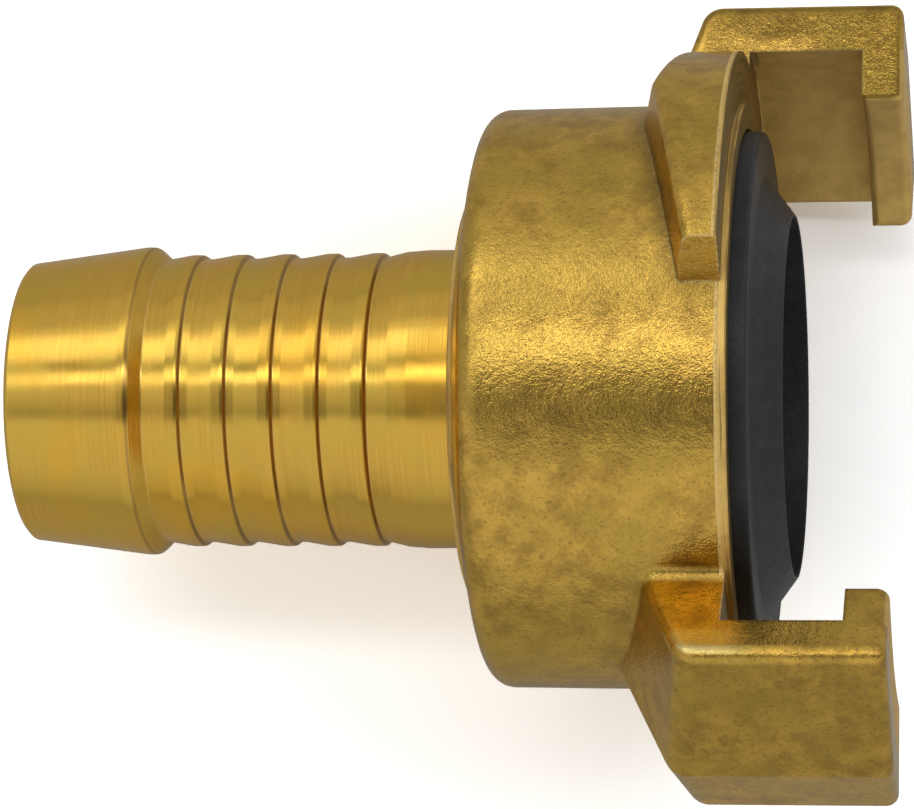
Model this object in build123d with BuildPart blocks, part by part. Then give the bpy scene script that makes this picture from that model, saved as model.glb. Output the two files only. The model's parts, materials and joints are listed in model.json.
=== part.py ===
from build123d import *
import os
from math import atan2, cos, degrees, radians, sin, tan

# One half of a claw coupling for water hoses, with a tail that swivels, lying on a table. Millimetres.
# Lengths run along the coupling's axis from the front plane of the body's rim: plus is towards the tips
# of the claws, minus towards the hose. Angles turn about that axis from the side that lies downwards.

# Claws: two hooks, half a turn apart, that reach round the other half's ears.
claw_gap = 40.0  # clear distance between the two hook lips, the size that couplings are sorted by
hook_depth = 3.4  # how far a lip reaches in from its leg
leg_thickness = 3.4
claw_reach = 9.7  # from the rim to the front of the tips
hook_thickness = 2.7
claw_start_angle = 36.0
claw_ridge_angle = 62.0  # the outside is two flat faces that meet at this angle
claw_end_angle = 78.0
root_edge = 4.0  # from the rim to the back of the root, at the leg's outside
root_foot = 7.9  # and at the body, both at the ridge
start_edge_advance = 1.2  # how much further forward the root's back lies at the claw's first end
start_foot_advance = 2.4
end_edge_advance = 0.8  # and at its last end
end_foot_advance = 2.0
forged_rounding = 0.8
ridge_rounding = 0.45
root_rounding = 1.5  # where the root's back runs into the outside
root_fillet = 0.8  # where the root meets the body
lip_rounding = 0.45

# Ears: two ramped flanges that the other half's hooks slide behind.
ear_clearance = 1.0  # between an ear and the leg of the other half's claw
ear_setback = 0.4  # front of the ears behind the rim
ear_root_thickness = 3.3  # at the body, inside the claw
ear_thickness = 5.6  # where the ramp starts
ear_tip_thickness = 2.6
ramp_start_angle = 117.0
ear_end_angle = 159.0
ear_end_lean_angle = 4.0  # the end face leans in by this angle from the body to the ear's edge
ear_draft_angle = 13.0
ear_rounding = 0.8
ramp_sections = 5
ear_root_angle = 10.0  # how far the ear runs on inside the claw

# Body: the forged ring that carries the claws and ears.
body_clearance = 1.0  # between the body and the lips of the other half
body_length = 18.0
body_draft = 0.15  # how much narrower the body is at its back
back_ring_wall = 3.15
back_ring_height = 0.3
back_slope_angle = 12.0
back_rounding = 1.5
rim_wall = 1.6
seal_recess = 3.6
bead_groove_depth = 0.6
bead_groove_width = 1.2
shoulder_wall = 7.7  # the wall that the tail's collar pulls against
edge_break = 0.25

# Hose tail: a turned tube, put in from the front, with a collar inside the body.
waterway_radius = 8.1
tail_wall = 1.26  # in the valleys between the barbs
tail_reach = 47.6  # from the rim to the tail's end
end_cone_length = 7.7
end_cone_rise = 1.0
end_barb_height = 0.82
end_barb_land = 0.6
end_barb_fall = 0.85
end_barb_rounding = 0.5
barb_count = 5
barb_pitch = 3.03
barb_height = 0.27
barb_rise = 1.6
barb_plateau = 0.7
barb_fall = 0.25
barb_rounding = 0.25
land_height = 0.42
land_shoulder_height = 0.32  # the edge of the cone that rises to the land
land_shoulder_length = 1.33
land_rise_length = 1.3  # from that edge to the land's full height
running_clearance = 0.07
passing_clearance = 0.1  # the first barb passes through the body's bore when the tail is put in
collar_height = 2.72
collar_clearance = 0.2
thrust_gap = 0.05
journal_tuck = 0.8  # how far inside the back ring the journal starts

# Rubber ring between the tail's collar and the body.
ring_section = 1.9
ring_gap = 0.1
ring_groove_play = 0.25

# Face seal: a rubber ring with a lip, snapped into the body's front.
seal_clearance = 0.2
seal_stand_out = 1.1
seal_hole_radius = 11.7
seal_face_width = 2.8
seal_lip_reach = 2.9
seal_lip_land = 0.1
seal_waist_height = 0.7  # from the face to where the lip's cone begins
seal_waist_radius = 13.3
seal_edge = 0.3
bead_clearance = 0.1
seal_to_collar = 0.15

# Radii and lengths that follow from each other.
lip_radius = claw_gap / 2
leg_inner_radius = lip_radius + hook_depth
leg_outer_radius = leg_inner_radius + leg_thickness
ear_radius = leg_inner_radius - ear_clearance
body_radius = lip_radius - body_clearance
recess_radius = body_radius - rim_wall
bead_groove_radius = recess_radius + bead_groove_depth
seal_radius = recess_radius - seal_clearance
valley_radius = waterway_radius + tail_wall
barb_radius = valley_radius + barb_height
end_barb_radius = valley_radius + end_barb_height
tail_end_radius = end_barb_radius - end_cone_rise
land_radius = valley_radius + land_height
journal_radius = end_barb_radius + passing_clearance
bore_radius = journal_radius + running_clearance
collar_radius = journal_radius + collar_height
chamber_radius = collar_radius + collar_clearance
back_ring_radius = bore_radius + back_ring_wall
shoulder = -body_length + shoulder_wall


def about_axis(radius, angle, length):
    return Vector(radius * cos(radians(angle)), radius * sin(radians(angle)), length)


# The coupling rests on three points: the first corner of one claw, the far end of the ear beside it, and
# the rounded back corner of the body. The floor is the plane that touches them, seen from the coupling.
claw_corner_half_angle = (90 - (claw_ridge_angle - claw_start_angle) / 2) / 2
claw_corner_loss = forged_rounding * (1 / sin(radians(claw_corner_half_angle)) - 1)
claw_touch = about_axis(leg_outer_radius - claw_corner_loss, claw_start_angle, start_edge_advance - root_edge)
ear_edge_thickness = ear_tip_thickness - (ear_radius - body_radius) * tan(radians(ear_draft_angle))
ear_edge_angle = ear_end_angle - ear_end_lean_angle
ear_touch = about_axis(ear_radius, ear_edge_angle - 180, -ear_setback - ear_edge_thickness)
back_drop = (body_radius - back_ring_radius) * tan(radians(back_slope_angle))
back_corner_length = -body_length + back_ring_height + back_drop
floor_steps = 5  # each step finds the touching point on the rounded corner more closely
floor_up = Vector(-1, 0, 0)
for step in range(floor_steps):
    towards_floor = Vector(-floor_up.X, -floor_up.Y).normalized()
    rounding_centre = towards_floor * (body_radius - back_rounding)
    rounding_centre += Vector(0, 0, back_corner_length + back_rounding)
    back_touch = rounding_centre - floor_up * back_rounding
    floor_up = (back_touch - claw_touch).cross(ear_touch - claw_touch).normalized()
along_floor = (Vector(0, 0, 1) - floor_up * floor_up.Z).normalized()
floor = Plane(origin=(0, 0, 0), x_dir=along_floor, z_dir=floor_up)

# The lying coupling: its plane z runs along the axis towards the claws, and x points down.
coupling = Plane(floor.location.inverse())
coupling_axis = Axis(coupling.origin, coupling.z_dir)


def half_section(angle):
    """A plane through the axis: x along the axis, y outwards at this angle."""
    outwards = coupling.x_dir.rotate(coupling_axis, angle)
    return Plane(coupling.origin, x_dir=coupling.z_dir, z_dir=coupling.z_dir.cross(outwards))


def distance_out(shape):
    """How far the middle of a shape lies from the axis."""
    middle = coupling.to_local_coords(shape.center())
    return Vector(middle.X, middle.Y).length


def across_point(radius, angle):
    return (radius * cos(radians(angle)), radius * sin(radians(angle)))


def angle_at(point):
    """The angle about the axis, from 0 at the side that lies downwards."""
    spot = coupling.to_local_coords(point)
    return degrees(atan2(spot.Y, spot.X))


# Hose tail
first_valley = -tail_reach + end_cone_length + end_barb_land + end_barb_fall
with BuildPart() as hose_tail:
    with BuildSketch(half_section(0)) as tail_profile:
        with BuildLine():
            outline = [
                (-tail_reach, waterway_radius),
                (-tail_reach, tail_end_radius),
                (-tail_reach + end_cone_length, end_barb_radius),
                (-tail_reach + end_cone_length + end_barb_land, end_barb_radius),
                (first_valley, valley_radius),
            ]
            for i in range(barb_count):
                foot = first_valley + i * barb_pitch
                crest = foot + barb_rise
                outline += [
                    (crest, barb_radius),
                    (crest + barb_plateau, barb_radius),
                    (crest + barb_plateau + barb_fall, valley_radius),
                ]
                if i < barb_count - 1:
                    outline.append((foot + barb_pitch, valley_radius))
            last_valley = outline[-1][0]
            land_shoulder = last_valley + land_shoulder_length
            collar_front = -seal_recess - seal_to_collar
            outline += [
                (land_shoulder, valley_radius + land_shoulder_height),
                (land_shoulder + land_rise_length, land_radius),
                (-body_length + journal_tuck, land_radius),
                (-body_length + journal_tuck, journal_radius),
                (shoulder + thrust_gap, journal_radius),
                (shoulder + thrust_gap, collar_radius),
                (collar_front, collar_radius),
                (collar_front, waterway_radius),
            ]
            Polyline(*outline, close=True)
        make_face()
        tail_corners = tail_profile.vertices().filter_by_position(Axis.X, -tail_reach, -tail_reach)
        chamfer(tail_corners, edge_break)
        crests = tail_profile.vertices().filter_by_position(Axis.Y, barb_radius, barb_radius)
        fillet(crests, barb_rounding)
        end_crest = tail_profile.vertices().filter_by_position(Axis.Y, end_barb_radius, end_barb_radius)
        fillet(end_crest, end_barb_rounding)
    revolve(axis=coupling_axis)
    # The groove for the rubber ring, in the middle of the collar.
    groove_middle = (shoulder + thrust_gap + collar_front) / 2
    groove_radius = chamber_radius - ring_gap - ring_section
    with BuildSketch(half_section(0)):
        with Locations((groove_middle, (groove_radius + chamber_radius) / 2)):
            Rectangle(ring_section + 2 * ring_groove_play, chamber_radius - groove_radius)
    revolve(axis=coupling_axis, mode=Mode.SUBTRACT)
hose_tail.part.label = "hose_tail"

# Rubber ring on the tail's collar
with BuildPart() as swivel_ring:
    with BuildSketch(half_section(0)):
        with Locations((groove_middle, groove_radius + ring_section / 2)):
            Circle(ring_section / 2)
    revolve(axis=coupling_axis)
swivel_ring.part.label = "swivel_o_ring"

# Face seal
with BuildPart() as face_seal:
    bead_front = -seal_recess + bead_groove_width - bead_clearance
    with BuildSketch(half_section(0)) as seal_profile:
        with BuildLine():
            Polyline(
                (-seal_recess, seal_hole_radius),
                (-seal_recess, bead_groove_radius - bead_clearance),
                (bead_front, bead_groove_radius - bead_clearance),
                (bead_front, seal_radius),
                (seal_stand_out, seal_radius),
                (seal_stand_out, seal_radius - seal_face_width),
                (seal_stand_out + seal_waist_height, seal_waist_radius),
                (seal_lip_reach, seal_hole_radius + seal_lip_land),
                (seal_lip_reach, seal_hole_radius),
                close=True,
            )
        make_face()
        front_edge = seal_profile.vertices().group_by(Axis.Y)[-2].sort_by(Axis.X)[-1]
        fillet(front_edge, seal_edge)
    revolve(axis=coupling_axis)
face_seal.part.label = "face_seal"

# One ear: it thickens evenly with the angle to where the ramp starts, then thins evenly to its end
foot_radius = body_radius - rim_wall / 2  # ears and claws reach this far into the body


def ear_corners(thickness):
    """Corners of the half section of an ear that is this thick at the body, with its back drafted."""
    foot_back = ear_setback + thickness + (body_radius - foot_radius) * tan(radians(ear_draft_angle))
    edge_back = ear_setback + thickness - (ear_radius - body_radius) * tan(radians(ear_draft_angle))
    return [
        (-ear_setback, foot_radius),
        (-ear_setback, ear_radius),
        (-edge_back, ear_radius),
        (-foot_back, foot_radius),
    ]


ear_ramps = [
    (claw_end_angle - ear_root_angle, ear_root_thickness, ramp_start_angle, ear_thickness),
    (ramp_start_angle, ear_thickness, ear_end_angle, ear_tip_thickness),
]
with BuildPart() as ear:
    for first_angle, first_thickness, last_angle, last_thickness in ear_ramps:
        for i in range(ramp_sections):
            share = i / (ramp_sections - 1)
            thickness = first_thickness + (last_thickness - first_thickness) * share
            with BuildSketch(half_section(first_angle + (last_angle - first_angle) * share)) as ramp_section:
                Polygon(*ear_corners(thickness), align=None)
                back_corner = ramp_section.vertices().group_by(Axis.Y)[-1].sort_by(Axis.X)[0]
                fillet(back_corner, ear_rounding)
        loft()
    # The end face leans in towards the ear's edge.
    end_foot = Vector(*across_point(body_radius, ear_end_angle))
    end_edge = Vector(*across_point(ear_radius, ear_edge_angle))
    lean = coupling.from_local_coords(end_edge) - coupling.from_local_coords(end_foot)
    end_face = Plane(
        coupling.from_local_coords(end_foot), x_dir=coupling.z_dir, z_dir=lean.cross(coupling.z_dir)
    )
    split(bisect_by=end_face, keep=Keep.TOP)

# One claw: a forged hook with two flat outer faces and a ridged back, turned out inside
root_sections = [
    (claw_start_angle, root_foot - start_foot_advance, root_edge - start_edge_advance),
    (claw_ridge_angle, root_foot, root_edge),
    (claw_end_angle, root_foot - end_foot_advance, root_edge - end_edge_advance),
]
same_angle = 0.2


def is_claw_ridge(edge):
    """Whether an edge lies in the half plane of the ridge."""
    first = abs(angle_at(edge @ 0.1) - claw_ridge_angle)
    last = abs(angle_at(edge @ 0.9) - claw_ridge_angle)
    return max(first, last) < same_angle


def is_claw_side(edge):
    """Whether an edge bounds one end of the claw, or its front on the outside."""
    if distance_out(edge) < foot_radius + edge_break:
        return False
    first = angle_at(edge @ 0.1)
    last = angle_at(edge @ 0.9)
    at_start = max(abs(first - claw_start_angle), abs(last - claw_start_angle)) < same_angle
    at_end = max(abs(first - claw_end_angle), abs(last - claw_end_angle)) < same_angle
    in_front = coupling.to_local_coords(edge @ 0.5).Z > claw_reach - thrust_gap
    return at_start or at_end or in_front


with BuildPart() as claw:
    for angle, foot_back, edge_back in root_sections:
        slant = (foot_back - edge_back) / (leg_outer_radius - body_radius)
        with BuildSketch(half_section(angle)) as root_section:
            Polygon(
                (claw_reach, foot_radius),
                (claw_reach, leg_outer_radius),
                (-edge_back, leg_outer_radius),
                (-foot_back - (body_radius - foot_radius) * slant, foot_radius),
                align=None,
            )
            root_corner = root_section.vertices().group_by(Axis.Y)[-1].sort_by(Axis.X)[0]
            fillet(root_corner, root_rounding)
    loft(ruled=True)
    outer_edges = claw.edges().filter_by(lambda edge: distance_out(edge) > foot_radius + edge_break)
    ridge_edges = outer_edges.filter_by(is_claw_ridge)
    fillet(ridge_edges, ridge_rounding)
    side_edges = claw.edges().filter_by(is_claw_side)
    fillet(side_edges, forged_rounding)
    hook_back = claw_reach - hook_thickness
    past_claws = 2 * claw_reach
    with BuildSketch(half_section(claw_start_angle)):
        with BuildLine():
            Polyline(
                (-ear_setback, 0),
                (-ear_setback, leg_inner_radius),
                (hook_back, leg_inner_radius),
                (hook_back, lip_radius),
                (past_claws, lip_radius),
                (past_claws, 0),
                close=True,
            )
        make_face()
    revolve(axis=coupling_axis, mode=Mode.SUBTRACT)
    round_faces = claw.faces().filter_by(GeomType.CYLINDER)
    lip_face = round_faces.filter_by(lambda face: face.radius < leg_inner_radius)
    lip_edges = lip_face.edges().filter_by(GeomType.CIRCLE)
    fillet(lip_edges, lip_rounding)

# Body: the forging with its ears and claws, then turned out inside
def is_root_foot(edge):
    """Whether an edge is where a claw's root meets the body behind the ears."""
    middle = coupling.to_local_coords(edge @ 0.5)
    out = Vector(middle.X, middle.Y).length
    on_body = body_radius - body_draft - edge_break < out < body_radius + edge_break
    within_claw = claw_start_angle < angle_at(edge @ 0.5) % 180 < claw_end_angle
    return on_body and within_claw and middle.Z < -ear_setback - ear_root_thickness


with BuildPart() as claw_body:
    with BuildSketch(half_section(0)) as forged_profile:
        with BuildLine():
            Polyline(
                (-body_length, 0),
                (-body_length, back_ring_radius),
                (-body_length + back_ring_height, back_ring_radius),
                (back_corner_length, body_radius - body_draft),
                (0, body_radius),
                (0, 0),
                close=True,
            )
        make_face()
        back_corner = forged_profile.vertices().group_by(Axis.Y)[-2]
        fillet(back_corner, back_rounding)
        ring_corner = forged_profile.vertices().group_by(Axis.X)[0].sort_by(Axis.Y)[-1]
        chamfer(ring_corner, edge_break)
    revolve(axis=coupling_axis)
    for turn in (0, 180):
        add(ear.part.rotate(coupling_axis, turn))
        add(claw.part.rotate(coupling_axis, turn))
    root_feet = claw_body.edges().filter_by(is_root_foot)
    fillet(root_feet, root_fillet)
    with BuildSketch(half_section(0)) as turned_profile:
        with BuildLine():
            Polyline(
                (-body_length, 0),
                (-body_length, bore_radius + edge_break),
                (-body_length + edge_break, bore_radius),
                (shoulder, bore_radius),
                (shoulder, chamber_radius),
                (-seal_recess, chamber_radius),
                (-seal_recess, bead_groove_radius),
                (-seal_recess + bead_groove_width, bead_groove_radius),
                (-seal_recess + bead_groove_width, recess_radius),
                (0, recess_radius),
                (0, 0),
                close=True,
            )
        make_face()
    revolve(axis=coupling_axis, mode=Mode.SUBTRACT)
claw_body.part.label = "claw_body"

os.makedirs("parts", exist_ok=True)
export_step(hose_tail.part, "parts/hose_tail.step")
export_step(swivel_ring.part, "parts/swivel_o_ring.step")
export_step(face_seal.part, "parts/face_seal.step")
export_step(claw_body.part, "parts/claw_body.step")
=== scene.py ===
import json
import math

import bpy
from mathutils import Matrix, Vector


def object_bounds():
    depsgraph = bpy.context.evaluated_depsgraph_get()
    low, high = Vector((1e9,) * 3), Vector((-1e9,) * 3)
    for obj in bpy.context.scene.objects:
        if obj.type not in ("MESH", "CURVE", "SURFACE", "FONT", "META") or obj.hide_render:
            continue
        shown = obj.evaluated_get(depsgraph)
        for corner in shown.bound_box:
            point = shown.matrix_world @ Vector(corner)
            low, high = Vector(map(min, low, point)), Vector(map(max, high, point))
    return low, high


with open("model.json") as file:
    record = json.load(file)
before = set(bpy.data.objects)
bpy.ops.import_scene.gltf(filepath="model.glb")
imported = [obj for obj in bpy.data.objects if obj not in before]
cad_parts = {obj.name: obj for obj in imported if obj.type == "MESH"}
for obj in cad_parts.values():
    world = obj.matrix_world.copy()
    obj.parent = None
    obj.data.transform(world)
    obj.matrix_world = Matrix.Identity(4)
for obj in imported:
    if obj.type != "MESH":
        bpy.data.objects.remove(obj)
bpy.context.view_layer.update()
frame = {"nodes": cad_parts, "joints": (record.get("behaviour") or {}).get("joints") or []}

# The coupling's own directions: along its axis towards the claws, and square to it.
swivel = frame["joints"][0]
alongAxis = Vector(swivel["axis"]).normalized()
print("frame loaded:", sorted(frame["nodes"]))


def directionAt(angle):
    # unit vector square to the axis; the angle turns about the axis from straight down
    down = Vector((0, 0, -1))
    down = (down - alongAxis * down.dot(alongAxis)).normalized()
    side = alongAxis.cross(down)
    turn = math.radians(angle)
    return down * math.cos(turn) + side * math.sin(turn)


# camera: it looks almost straight down, a little from the claws' side
view = {
    "fromRim": 0.01934,  # the point looked at, behind the rim on the axis
    "distance": 0.2796,
    "towardsClaws": 8.7,  # degrees off square to the axis
    "roll": 0.35,
    "lift": -0.00036,
    "lens": 167.9,
    "sensorWidth": 36,
    "clip": (0.01, 10),
    "bodyTurn": 3.24,  # turn of the coupling about its axis as it lies, degrees
}


def viewDirections():
    down = directionAt(view["bodyTurn"])
    side = alongAxis.cross(down)
    lean = math.radians(view["towardsClaws"])
    roll = math.radians(view["roll"])
    back = alongAxis * math.sin(lean) - down * math.cos(lean)
    right = alongAxis * math.cos(lean) + down * math.sin(lean)
    cameraRight = right * math.cos(roll) - side * math.sin(roll)
    cameraUp = side * math.cos(roll) + right * math.sin(roll)
    target = alongAxis * -view["fromRim"] + side * view["lift"]
    return cameraRight, cameraUp, back, target


def setPlace(thing, place, axes):
    thing.matrix_world = Matrix.Translation(place) @ Matrix(axes).transposed().to_4x4()


def makeCamera():
    cameraRight, cameraUp, back, target = viewDirections()
    data = bpy.data.cameras.new("camera")
    data.lens = view["lens"]
    data.sensor_width = view["sensorWidth"]
    data.clip_start, data.clip_end = view["clip"]
    camera = bpy.data.objects.new("camera", data)
    bpy.context.scene.collection.objects.link(camera)
    setPlace(camera, target + back * view["distance"], (cameraRight, cameraUp, back))
    bpy.context.scene.camera = camera


makeCamera()
print("camera placed")


# shaders: node gives back the node it adds, the other helpers give back the socket that carries the result
class Shader:
    def __init__(self, name, tree=None):
        if tree is None:
            self.material = bpy.data.materials.new(name)
            self.material.use_nodes = True
            tree = self.material.node_tree
        self.tree = tree
        self.tree.nodes.clear()

    def node(self, kind, inputs=None, **settings):
        made = self.tree.nodes.new("ShaderNode" + kind)
        for key, value in settings.items():
            setattr(made, key, value)
        for key, value in (inputs or {}).items():
            if isinstance(value, bpy.types.NodeSocket):
                self.tree.links.new(value, made.inputs[key])
            else:
                made.inputs[key].default_value = value
        return made

    def math(self, operation, first, second=0.0, clamp=False):
        return self.node("Math", {0: first, 1: second}, operation=operation, use_clamp=clamp).outputs[0]

    def product(self, *factors):
        result = factors[0]
        for factor in factors[1:]:
            result = self.math("MULTIPLY", result, factor)
        return result

    def inverse(self, value):
        return self.math("SUBTRACT", 1.0, value)

    def vector(self, operation, first, second=(0, 0, 0)):
        return self.node("VectorMath", {0: first, 1: second}, operation=operation).outputs["Vector"]

    def dot(self, first, second):
        return self.node("VectorMath", {0: first, 1: second}, operation="DOT_PRODUCT").outputs["Value"]

    def scaled(self, vector, factor):
        return self.node("VectorMath", {0: vector, "Scale": factor}, operation="SCALE").outputs["Vector"]

    def spread(self, value, low, high, newLow=0.0, newHigh=1.0):
        inputs = {"Value": value, "From Min": low, "From Max": high, "To Min": newLow, "To Max": newHigh}
        return self.node("MapRange", inputs, interpolation_type="SMOOTHSTEP").outputs["Result"]

    def noise(self, place, scale, detail, roughness):
        inputs = {"Vector": place, "Scale": scale, "Detail": detail, "Roughness": roughness}
        return self.node("TexNoise", inputs).outputs["Fac"]

    def blend(self, factor, first, second, mode="MIX"):
        made = self.node("Mix", data_type="RGBA", blend_type=mode, clamp_factor=True)
        for socket, value in zip((made.inputs[0], made.inputs[6], made.inputs[7]), (factor, first, second)):
            if isinstance(value, bpy.types.NodeSocket):
                self.tree.links.new(value, socket)
            elif isinstance(value, tuple):
                socket.default_value = (*value, 1)
            else:
                socket.default_value = value
        return made.outputs[2]

    def bump(self, height, distance, strength, normal):
        inputs = {"Height": height, "Distance": distance, "Strength": strength, "Normal": normal}
        return self.node("Bump", inputs).outputs["Normal"]

    def place(self):
        # where the surface is, in millimetres from the frame's origin
        return self.scaled(self.node("TexCoord").outputs["Object"], 1000.0)

    def alongAndOut(self, place):
        # distance along the axis and distance from it, in millimetres
        along = self.dot(place, tuple(alongAxis))
        square = self.vector("SUBTRACT", place, self.scaled(tuple(alongAxis), along))
        out = self.node("VectorMath", {0: square}, operation="LENGTH").outputs["Value"]
        return along, out

    def finish(self, surface):
        output = self.node("OutputMaterial")
        self.tree.links.new(surface.outputs["BSDF"], output.inputs["Surface"])
        return self.material


wearAndHighlightSwing = (0.01, 0.14)  # how far the rounded normal has to swing for none and for all of the edge wear and its painted highlight


def edgeWearAndHighlight(shader, radius):
    # how far a rounded normal swings from the true one: near nought on open faces, high along edges
    rounded = shader.node("Bevel", {"Radius": radius}, samples=4).outputs["Normal"]
    flat = shader.node("NewGeometry").outputs["Normal"]
    swing = shader.inverse(shader.dot(rounded, flat))
    return rounded, shader.spread(swing, *wearAndHighlightSwing)


def turnedStreaks(shader, place, along, out, fast):
    # noise that changes fast along the axis and away from it, slowly around it: it reads as turning lines
    rings = {0: shader.product(along, fast), 1: shader.product(out, fast)}
    rings = shader.node("CombineXYZ", rings).outputs[0]
    slow = shader.scaled(place, turned["streakAcross"])
    return shader.noise(shader.vector("ADD", slow, rings), *turned["streaks"])


def brassSurface(shader, colour, rough, normal, metallic=1.0):
    inputs = {"Base Color": colour, "Metallic": metallic, "Roughness": rough, "Normal": normal}
    surface = shader.node("BsdfPrincipled", inputs)
    surface.inputs["Specular Tint"].default_value = (*forged["grazing"], 1)
    return shader.finish(surface)


# noises are scale per millimetre, detail and roughness; ramps are from low, from high, to low, to high;
# distances along the axis and out from it are in millimetres, depths and radii in metres
forged = {
    "gold": (0.76, 0.468, 0.090),
    "brown": (0.47, 0.285, 0.058),
    "olive": (0.61, 0.406, 0.074),
    "cornerShade": (0.13, 0.085, 0.030),
    "pitColour": (0.24, 0.15, 0.040),
    "bright": (0.98, 0.76, 0.36),
    "litStartFace": (0.82, 0.65, 0.25),
    "shadedEndFace": (0.58, 0.58, 0.58),
    "grazing": (0.93, 0.87, 0.75),
    "patches": (0.55, 5.0, 0.65),
    "hues": (0.20, 4.0, 0.6),
    "grain": (7.5, 2.0, 0.6),
    "lumps": (2.2, 3.0, 0.6),
    "pits": (4.125, 4.0, 0.75),
    "patchRamp": (0.34, 0.66),
    "hueRamp": (0.42, 0.58, 0.0, 0.6),
    "pitRamp": (0.52, 0.70, 0.0, 0.7),
    "roughness": (0.30, 0.70, 0.10, 0.21),
    "wornSmoother": 0.06,
    "wornAndHighlightRamp": (0.62, 0.40, 0.25, 1.0),
    "cornerReach": 0.0016,  # how far from an inner corner the painted shade goes
    "cornerBreak": (0.3, 0.7, -0.12, 0.12),
    "cornerRamp": (0.92, 0.45),
    "cornerShadeShare": 0.85,
    "facingRound": (0.6, 0.8),  # how far a face's normal points round the axis
    "clawOut": (24.0, 24.7),
    "clawAlong": (3.0, 5.0),
    "endFaceAlong": (-8.0, 1.0),
    "startFaceAlong": (2.5, -1.5),
    "startFaceShare": 0.75,
    "grainDepth": 0.000028,
    "grainStrength": 0.7,
    "lumpDepth": 0.00010,
    "lumpStrength": 0.35,
    "edgeRadius": 0.0003,
    "edgeLumps": 2.0,
}
satin = {
    "gold": (0.90, 0.605, 0.175),
    "brown": (0.74, 0.480, 0.135),
    "bright": (0.96, 0.70, 0.27),
    "line": (0.30, 0.185, 0.055),
    "frontShade": (0.3, 0.3, 0.3),
    "patchRamp": (0.35, 0.65),
    "roughness": 0.44,
    "metallic": 0.62,
    "rimStart": -0.75,
    "rimEdge": 0.05,
    "rimOut": (23.6, 23.45),
    "ringAlong": (-17.2, -17.4),
    "ringOut": (13.7, 13.6),
    "frontRamp": (0.6, 0.85),
    "rimFaceEnd": (0.4, 0.2),
    "rimLinesEnd": (0.2, 0.0),
    "ringLinesStart": (-17.0, -17.2),
    "lineScale": 3.6,
    "lineRamp": (0.50, 0.58),
    "lineShare": 0.7,
    "startLineAlong": 0.1,  # past rimStart
    "startLineWidth": (0.14, 0.06),
    "startLineBreak": (0.65, 0.40, 0.15, 0.8),
}


def machinedMask(shader, along, out, turnwise):
    # turned parts: the rim and the claws' inner walls in front, and the ring at the back
    rimStart = satin["rimStart"]
    front = shader.spread(along, rimStart - satin["rimEdge"], rimStart + satin["rimEdge"])
    front = shader.product(front, shader.spread(out, *satin["rimOut"]))
    back = shader.product(shader.spread(along, *satin["ringAlong"]), shader.spread(out, *satin["ringOut"]))
    machined = shader.math("MAXIMUM", front, back, clamp=True)
    # the claws' end faces are as forged: their normals point round the axis
    facingRound = shader.spread(shader.math("ABSOLUTE", turnwise), *forged["facingRound"])
    return shader.product(machined, shader.inverse(facingRound))


def satinColour(shader, place, along, out, patches, pits):
    # satin of the turned parts, with dark turning lines on the rim and a painted highlight line where it
    # starts
    colour = shader.blend(shader.spread(patches, *satin["patchRamp"]), satin["brown"], satin["gold"])
    rimOnly = shader.spread(along, *satin["rimLinesEnd"])
    rimOnly = shader.math("MAXIMUM", rimOnly, shader.spread(along, *satin["ringLinesStart"]), clamp=True)
    lines = shader.spread(turnedStreaks(shader, place, along, out, satin["lineScale"]), *satin["lineRamp"])
    colour = shader.blend(shader.product(lines, rimOnly, satin["lineShare"]), colour, satin["line"])
    # painted highlight: a bright line just past where the rim starts
    lineAt = satin["rimStart"] + satin["startLineAlong"]
    fromStart = shader.math("ABSOLUTE", shader.math("SUBTRACT", along, lineAt))
    startHighlight = shader.spread(fromStart, *satin["startLineWidth"])
    startHighlight = shader.product(startHighlight, shader.spread(pits, *satin["startLineBreak"]))
    return shader.blend(startHighlight, colour, satin["bright"])


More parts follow.
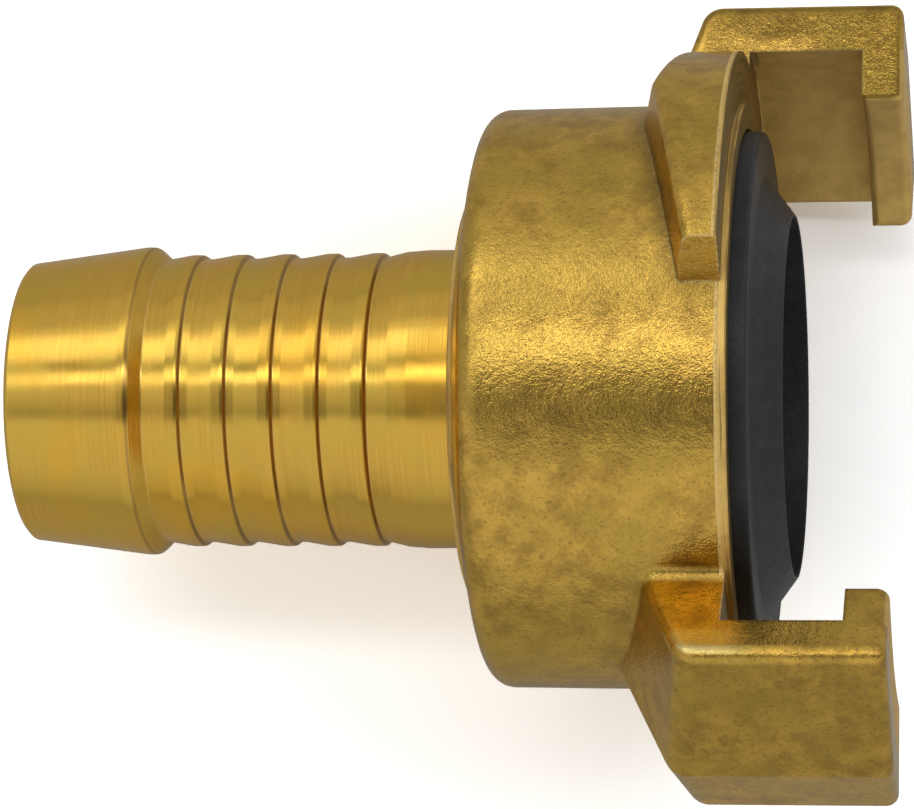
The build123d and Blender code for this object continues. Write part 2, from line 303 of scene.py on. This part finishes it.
def makeForgedBrass():
    shader = Shader("forgedBrass")
    place = shader.place()
    along, out = shader.alongAndOut(place)
    rounded, wearAndHighlight = edgeWearAndHighlight(shader, forged["edgeRadius"])
    trueNormal = shader.node("TexCoord").outputs["Normal"]
    patches, hues, grain, lumps, pits = [
        shader.noise(place, *forged[name]) for name in ("patches", "hues", "grain", "lumps", "pits")
    ]
    streaks = turnedStreaks(shader, place, along, out, turned["streakAlong"])
    around = shader.vector("CROSS_PRODUCT", tuple(alongAxis), place)
    turnwise = shader.dot(trueNormal, shader.vector("NORMALIZE", around))
    machined = machinedMask(shader, along, out, turnwise)
    # forged skin: patches of gold and brown, an olive cast, dark pits, and painted shade in the inner corners
    colour = shader.blend(shader.spread(patches, *forged["patchRamp"]), forged["brown"], forged["gold"])
    colour = shader.blend(shader.spread(hues, *forged["hueRamp"]), colour, forged["olive"])
    colour = shader.blend(shader.spread(pits, *forged["pitRamp"]), colour, forged["pitColour"])
    # painted shade: inner corners darkened, found by ambient occlusion
    corner = shader.node("AmbientOcclusion", {"Distance": forged["cornerReach"]}, samples=2, only_local=True)
    corner = shader.math("ADD", corner.outputs["AO"], shader.spread(grain, *forged["cornerBreak"]))
    corner = shader.spread(corner, *forged["cornerRamp"])
    colour = shader.blend(shader.product(corner, forged["cornerShadeShare"]), colour, forged["cornerShade"])
    # worn edges with a painted highlight along them, broken up by the pits, and none in inner corners
    wornAndHighlight = shader.product(wearAndHighlight, shader.spread(pits, *forged["wornAndHighlightRamp"]), shader.inverse(corner))
    colour = shader.blend(wornAndHighlight, colour, forged["bright"])
    # painted light: the claws' end faces are darkened and their start faces lightened, by which way round the
    # axis they face
    offBody = shader.spread(out, *forged["clawOut"])
    low, high = forged["facingRound"]
    onClaw = shader.math("MAXIMUM", offBody, shader.spread(along, *forged["clawAlong"]))
    onClaw = shader.product(onClaw, shader.spread(along, *forged["endFaceAlong"]))
    shadedEndFace = shader.product(shader.spread(turnwise, low, high), onClaw)
    nearBody = shader.spread(along, *forged["startFaceAlong"])
    startSide = shader.product(shader.spread(turnwise, -low, -high), nearBody)
    litStartFace = shader.product(offBody, forged["startFaceShare"], startSide)
    colour = shader.blend(litStartFace, colour, forged["litStartFace"])
    colour = shader.blend(shadedEndFace, colour, forged["shadedEndFace"], "MULTIPLY")
    colour = shader.blend(machined, colour, satinColour(shader, place, along, out, patches, pits))
    # painted shade: faces looking along the axis towards the claws are darkened
    frontShade = shader.spread(shader.dot(trueNormal, tuple(alongAxis)), *satin["frontRamp"])
    rimFace = shader.product(frontShade, shader.spread(along, *satin["rimFaceEnd"]))
    colour = shader.blend(rimFace, colour, satin["frontShade"], "MULTIPLY")
    rough = shader.spread(pits, *forged["roughness"])
    rough = shader.math("SUBTRACT", rough, shader.product(wornAndHighlight, forged["wornSmoother"]))
    rough = shader.node("Mix", {0: machined, 2: rough, 3: satin["roughness"]}).outputs[0]
    rugged = shader.inverse(machined)
    # edges are lumpier than the open faces
    lumpy = shader.product(rugged, shader.math("ADD", 1.0, shader.product(wornAndHighlight, forged["edgeLumps"])))
    normal = shader.bump(shader.product(lumps, lumpy), forged["lumpDepth"], forged["lumpStrength"], rounded)
    normal = shader.bump(shader.product(grain, rugged), forged["grainDepth"], forged["grainStrength"], normal)
    streaks = shader.product(streaks, machined)
    normal = shader.bump(streaks, turned["streakDepth"], turned["streakStrength"], normal)
    metallic = shader.spread(machined, 0.0, 1.0, 1.0, satin["metallic"])
    return brassSurface(shader, colour, rough, normal, metallic)


turned = {
    "gold": (0.83, 0.505, 0.086),
    "brown": (0.75, 0.442, 0.072),
    "olive": (0.74, 0.488, 0.080),
    "warm": (0.86, 0.475, 0.055),
    "lineColour": (0.42, 0.25, 0.07),
    "lineWidth": (0.13, 0.052),
    "lineBreak": (0.25, 0.5, 0.55, 1.0),
    "lineOut": (8.4, 8.6),
    "endLineShare": 0.7,
    "streaks": (1.0, 3.0, 0.6),
    "streakAlong": 9.0,
    "streakAcross": 0.12,
    "streakRamp": (0.35, 0.65),
    "streakDepth": 0.000016,
    "streakStrength": 0.5,
    "patches": (0.3, 3.0, 0.6),
    "hues": (0.22, 3.0, 0.55),
    "hueRamp": (0.42, 0.60, 0.0, 0.8),
    "warmth": (0.13, 2.0, 0.5),
    "warmRamp": (0.50, 0.66, 0.0, 0.7),
    "wearAndHighlightShare": 0.5,
    "edgeRadius": 0.00015,
    "roughness": (0.3, 0.7, 0.15, 0.25),
}
barbs = {
    "firstFall": -36.02,
    "pitch": 3.03,
    "count": 5,
    "endFall": -39.3,
    "lineReach": (0.3, 0.2),  # shares of the pitch
}


def barbLines(shader, along, out, patches):
    # painted shade: a dark line at the fall under each barb, broken up by noise
    share = shader.math("DIVIDE", shader.math("SUBTRACT", along, barbs["firstFall"]), barbs["pitch"])
    nearest = shader.math("SUBTRACT", share, shader.math("ROUND", share))
    nearest = shader.product(nearest, barbs["pitch"])
    onLine = shader.spread(shader.math("ABSOLUTE", nearest), *turned["lineWidth"])
    far, near = barbs["lineReach"]
    last = barbs["count"] - 1
    within = shader.spread(share, last + far, last + near)
    within = shader.product(shader.spread(share, -far, -near), within)
    onLine = shader.product(onLine, within, shader.spread(patches, *turned["lineBreak"]))
    endLine = shader.math("ABSOLUTE", shader.math("SUBTRACT", along, barbs["endFall"]))
    endLine = shader.spread(endLine, *turned["lineWidth"], 0.0, turned["endLineShare"])
    onLine = shader.math("MAXIMUM", onLine, endLine)
    return shader.product(onLine, shader.spread(out, *turned["lineOut"]))


def makeTurnedBrass():
    shader = Shader("turnedBrass")
    place = shader.place()
    along, out = shader.alongAndOut(place)
    rounded, wearAndHighlight = edgeWearAndHighlight(shader, turned["edgeRadius"])
    streaks = turnedStreaks(shader, place, along, out, turned["streakAlong"])
    patches, hues, warmth = [shader.noise(place, *turned[name]) for name in ("patches", "hues", "warmth")]
    colour = shader.blend(shader.spread(streaks, *turned["streakRamp"]), turned["brown"], turned["gold"])
    colour = shader.blend(shader.spread(hues, *turned["hueRamp"]), colour, turned["olive"])
    colour = shader.blend(shader.spread(warmth, *turned["warmRamp"]), colour, turned["warm"])
    # painted shade at the fall under each barb and at the tail's end
    colour = shader.blend(barbLines(shader, along, out, patches), colour, turned["lineColour"])
    # edges: worn brighter, with a painted highlight along them
    colour = shader.blend(shader.product(wearAndHighlight, turned["wearAndHighlightShare"]), colour, forged["bright"])
    rough = shader.spread(patches, *turned["roughness"])
    normal = shader.bump(streaks, turned["streakDepth"], turned["streakStrength"], rounded)
    return brassSurface(shader, colour, rough, normal)


rubber = {
    "black": (0.0125, 0.0142, 0.0162),
    "dusty": (0.0240, 0.0268, 0.0300),
    "edge": (0.095, 0.100, 0.105),
    "patches": (0.5, 3.0, 0.6),
    "patchRamp": (0.4, 0.7),
    "grain": (6.0, 2.0, 0.6),
    "grainDepth": 0.00004,
    "grainStrength": 0.4,
    "wearAndHighlightShare": 0.8,
    "edgeRadius": 0.00015,
    "roughness": (0.3, 0.7, 0.40, 0.55),
    "specularLevel": 0.5,
}


def makeRubber():
    shader = Shader("blackRubber")
    place = shader.place()
    rounded, wearAndHighlight = edgeWearAndHighlight(shader, rubber["edgeRadius"])
    patches = shader.noise(place, *rubber["patches"])
    grain = shader.noise(place, *rubber["grain"])
    colour = shader.blend(shader.spread(patches, *rubber["patchRamp"]), rubber["black"], rubber["dusty"])
    # paler edges: rubbed wear, with a painted highlight line along them
    colour = shader.blend(shader.product(wearAndHighlight, rubber["wearAndHighlightShare"]), colour, rubber["edge"])
    rough = shader.spread(grain, *rubber["roughness"])
    normal = shader.bump(grain, rubber["grainDepth"], rubber["grainStrength"], rounded)
    surface = shader.node("BsdfPrincipled", {"Base Color": colour, "Roughness": rough, "Normal": normal})
    surface.inputs["Specular IOR Level"].default_value = rubber["specularLevel"]
    return shader.finish(surface)


slotMaterials = {
    "forged_brass": makeForgedBrass(),
    "turned_brass": makeTurnedBrass(),
    "black_rubber": makeRubber(),
}
for nodeName in sorted(frame["nodes"]):
    node = frame["nodes"][nodeName]
    for slot in node.material_slots:
        name = slot.material.name if slot.material else "none"
        print("slot", nodeName, name)
        for slotName, material in slotMaterials.items():
            if slotName in name:
                slot.material = material
print("materials made")

# studio: a wide soft room of light bands above the axis, four soft boxes, a white floor
studio = {
    "floorSize": 3.0,
    "floorOther": 0.50,
    "floorSeen": 2.3,
    "shownInMetal": 0.1,  # share of the white background that reflections show
    "lampDistance": 0.6,
    # soft boxes: angle from the view towards the far side, angular width, radiance, start and end in metres
    "boxes": [("mainBox", 55.0, 22.0, 0.28, -0.7, 0.7), ("tailBox", 47.0, 22.0, 0.88, -0.7, -0.15),
              ("edgeBox", 20.5, 9.0, 1.6, -0.7, 0.7), ("bodyBox", 22.5, 6.0, 1.6, -0.19, 0.5)],
    "gapWidth": (-15.0, 14.0),  # the dark gap that the camera looks out of, angles about the axis
    "gapEdge": 0.04,  # radians
    # where the gap starts and where it deepens, by how far a direction points to the camera's right
    "gapStart": (-0.56, -0.34),
    "gapDeepens": (-0.26, -0.19),
    "gapDepth": (0.42, 0.96),  # over the tail, over the body
    # angle about the axis from the view, level of the room's light
    "room": [(-180, 0.28), (-120, 0.33), (-88, 0.44), (-74, 0.53), (-64, 0.62), (-42, 0.66), (-18, 0.70),
             (-14, 0.36), (-9, 0.31), (-6, 0.47), (0, 0.56), (8, 0.64), (14, 0.56), (28, 0.29), (35, 0.29),
             (40, 0.49), (66, 0.49), (80, 0.53), (98, 0.44), (123, 0.36), (180, 0.28)],
}


def makeBoxes():
    cameraRight, cameraUp, back, target = viewDirections()
    for name, angle, width, radiance, start, end in studio["boxes"]:
        turn = math.radians(angle)
        towards = back * math.cos(turn) + cameraUp * math.sin(turn)
        data = bpy.data.lights.new(name, "AREA")
        data.shape = "RECTANGLE"
        data.size = end - start
        data.size_y = 2 * studio["lampDistance"] * math.tan(math.radians(width / 2))
        data.energy = radiance * math.pi * data.size * data.size_y
        lamp = bpy.data.objects.new(name, data)
        bpy.context.scene.collection.objects.link(lamp)
        place = target + towards * studio["lampDistance"] + cameraRight * (start + end) / 2
        setPlace(lamp, place, (cameraRight, towards.cross(cameraRight), towards))


def backgroundShare(shader):
    # all of the white for the camera, a share of it in reflections and through clear things
    path = shader.node("LightPath")
    mirrored = shader.math("ADD", path.outputs["Is Glossy Ray"], path.outputs["Is Transmission Ray"])
    return shader.math("ADD", path.outputs["Is Camera Ray"], shader.product(mirrored, studio["shownInMetal"]))


def makeWorld():
    cameraRight, cameraUp, back = viewDirections()[:3]
    world = bpy.data.worlds.new("studioRoom")
    bpy.context.scene.world = world
    world.use_nodes = True
    shader = Shader("room", world.node_tree)
    direction = shader.node("TexCoord").outputs["Generated"]
    outward = shader.dot(direction, tuple(back))
    upward = shader.dot(direction, tuple(cameraUp))
    angle = shader.math("ARCTAN2", upward, outward)
    share = shader.math("ADD", shader.math("DIVIDE", angle, 2 * math.pi), 0.5)
    ramp = shader.node("ValToRGB", {0: share})
    stops = ramp.color_ramp.elements
    for degrees, level in studio["room"][1:-1]:
        stop = stops.new(degrees / 360 + 0.5)
        stop.color = (level, level, level, 1)
    stops[0].color = (studio["room"][0][1],) * 3 + (1,)
    stops[-1].color = (studio["room"][-1][1],) * 3 + (1,)
    low, high = (math.radians(edge) for edge in studio["gapWidth"])
    soft = studio["gapEdge"]
    rightward = shader.dot(direction, tuple(cameraRight))
    gap = shader.spread(angle, low - soft, low + soft)
    gap = shader.product(gap, shader.spread(angle, high + soft, high - soft))
    gap = shader.product(gap, shader.spread(rightward, *studio["gapStart"]))
    gapDepth = shader.spread(rightward, *studio["gapDeepens"], *studio["gapDepth"])
    kept = shader.inverse(shader.product(gap, gapDepth))
    level = shader.blend(1.0, ramp.outputs["Color"], kept, "MULTIPLY")
    colour = shader.blend(backgroundShare(shader), level, (1.0, 1.0, 1.0))
    background = shader.node("Background", {"Color": colour, "Strength": 1.0})
    output = shader.node("OutputWorld")
    shader.tree.links.new(background.outputs[0], output.inputs["Surface"])


def makeFloor():
    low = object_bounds()[0]
    size = studio["floorSize"]
    mesh = bpy.data.meshes.new("floor")
    corners = [(-size, -size, low.z), (size, -size, low.z), (size, size, low.z), (-size, size, low.z)]
    mesh.from_pydata(corners, [], [(0, 1, 2, 3)])
    floor = bpy.data.objects.new("floor", mesh)
    bpy.context.scene.collection.objects.link(floor)
    shader = Shader("floorPaper")
    colour = shader.blend(backgroundShare(shader), (studio["floorOther"],) * 3, (studio["floorSeen"],) * 3)
    surface = shader.node("BsdfDiffuse", {"Color": colour})
    mesh.materials.append(shader.finish(surface))


makeFloor()
makeBoxes()
makeWorld()
bpy.context.scene.view_settings.view_transform = "Standard"
print("studio lit")
